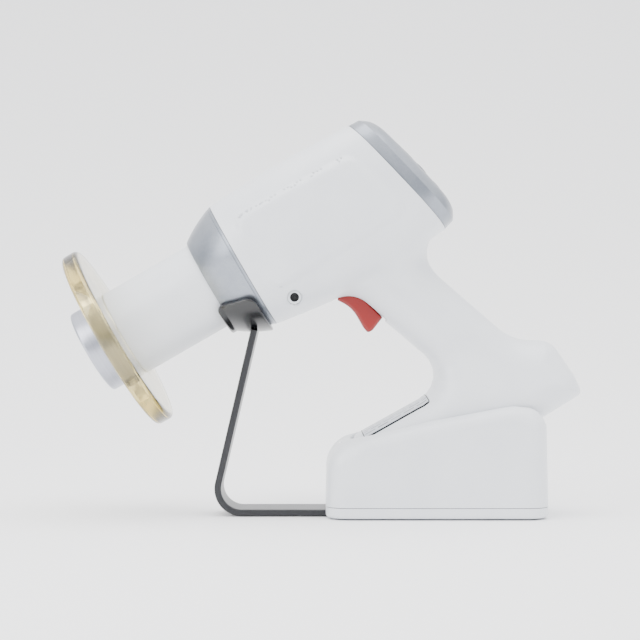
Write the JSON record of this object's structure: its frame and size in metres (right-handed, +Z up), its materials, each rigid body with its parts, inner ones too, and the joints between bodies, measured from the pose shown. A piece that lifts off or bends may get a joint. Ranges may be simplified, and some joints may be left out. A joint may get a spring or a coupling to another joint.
{
  "type": "intraoral x-ray unit",
  "caption": "Cordless handheld dental X-ray unit with trigger and lead-acrylic backscatter shield, standing in its charging dock with a strap-borne saddle.",
  "frame": {"origin": "on the table under the middle of the charging dock", "axes": "+Z up, the collimator tip points to -X, the rear display faces +X"},
  "size_m": [0.3913, 0.146, 0.2988],
  "materials": {
    "white_housing": "satin moulded ABS",
    "silver_trim": "metallic silver lacquer on moulded ABS",
    "satin_aluminium": "turned and bead blasted",
    "lead_acrylic": "cast sheet, polished edge",
    "red_plastic": "moulded, satin",
    "black_strap": "semi-gloss powder coat",
    "black_plastic": "moulded",
    "grey_rubber": "matt",
    "panel_silver": "printed film over plastic",
    "key_grey": "silicone",
    "screen_glass": "clear",
    "indicator_clear": "frosted",
    "jack_white": "moulded",
    "label_foil": "printed foil",
    "steel": "zinc plated",
    "lead": "rolled",
    "copper": "plain",
    "board_green": "solder mask",
    "cell_wrap": "shrink wrap"
  },
  "bodies": {
    "dock": {"dock_shell": "white_housing", "dock_base_plate": "white_housing", "non_slip_mat": "grey_rubber", "dock_screws": "steel", "ballast_plate": "steel", "dock_circuit_board": "board_green", "contact_block": "black_plastic", "indicator_lens": "indicator_clear", "power_inlet": "black_plastic", "support_strap": "black_strap", "strap_screws": "steel", "strap_pads": "grey_rubber", "saddle": "black_plastic", "saddle_liner": "grey_rubber"},
    "contact_pin_left": {"contact_pin_left": "copper"},
    "contact_pin_right": {"contact_pin_right": "copper"},
    "handset": {"housing_left": "white_housing", "housing_right": "white_housing", "housing_screws": "steel", "front_collar": "silver_trim", "collimator_tube": "white_housing", "collimator_tip": "satin_aluminium", "aperture_window": "black_plastic", "lead_liner": "lead", "tube_tank": "satin_aluminium", "tank_cover": "satin_aluminium", "beam_filter": "satin_aluminium", "collimator_stop": "lead", "xray_tube": "screen_glass", "cathode_cup": "steel", "anode": "copper", "hv_transformer": "steel", "main_circuit_board": "board_green", "rear_bezel": "silver_trim", "display_panel": "panel_silver", "display_window": "screen_glass", "keypad_board": "board_green", "display_module": "board_green", "trigger_pin": "steel", "trigger_switch": "black_plastic", "battery_cells": "cell_wrap", "battery_holder": "black_plastic", "charge_contacts": "copper", "foot_pads": "grey_rubber", "dc_jack": "black_plastic", "jack_ring": "jack_white", "rating_label": "label_foil"},
    "shield": {"backscatter_shield": "lead_acrylic"},
    "trigger": {"trigger": "red_plastic"},
    "key_up": {"key_up": "key_grey"},
    "key_down": {"key_down": "key_grey"},
    "key_preset": {"key_preset": "key_grey"},
    "key_enter": {"key_enter": "key_grey"},
    "power_button": {"power_button": "red_plastic"}
  },
  "joints": [
    {"name": "handset_lift", "type": "slide", "parent": "dock", "child": "handset", "axis": [0, 0, 1], "range_m": [0, 0.12]},
    {"name": "shield_slide", "type": "slide", "parent": "handset", "child": "shield", "axis": [-0.866, 0, -0.5], "range_m": [0, 0.04]},
    {"name": "trigger_pull", "type": "hinge", "parent": "handset", "child": "trigger", "pos_m": [-0.066, 0, 0.17], "axis": [0, -1, 0], "range_deg": [0, 6], "stiffness_Nm_per_rad": 0.3, "springref_deg": -9.74},
    {"name": "power_press", "type": "slide", "parent": "handset", "child": "power_button", "axis": [-0.9655, 0, -0.2605], "range_m": [0, 0.0007], "stiffness_N_per_m": 800, "springref_m": -0.0005},
    {"name": "key_up_press", "type": "slide", "parent": "handset", "child": "key_up", "axis": [-0.7254, 0, -0.6884], "range_m": [0, 0.0006], "stiffness_N_per_m": 800, "springref_m": -0.0005},
    {"name": "key_down_press", "type": "slide", "parent": "handset", "child": "key_down", "axis": [-0.7254, 0, -0.6884], "range_m": [0, 0.0006], "stiffness_N_per_m": 800, "springref_m": -0.0005},
    {"name": "key_preset_press", "type": "slide", "parent": "handset", "child": "key_preset", "axis": [-0.7254, 0, -0.6884], "range_m": [0, 0.0006], "stiffness_N_per_m": 800, "springref_m": -0.0005},
    {"name": "key_enter_press", "type": "slide", "parent": "handset", "child": "key_enter", "axis": [-0.7254, 0, -0.6884], "range_m": [0, 0.0006], "stiffness_N_per_m": 800, "springref_m": -0.0005},
    {"name": "contact_left_press", "type": "slide", "parent": "dock", "child": "contact_pin_left", "axis": [0, 0, -1], "range_m": [0, 0.001], "stiffness_N_per_m": 500, "springref_m": -0.0005},
    {"name": "contact_right_press", "type": "slide", "parent": "dock", "child": "contact_pin_right", "axis": [0, 0, -1], "range_m": [0, 0.001], "stiffness_N_per_m": 500, "springref_m": -0.0005}
  ]
}
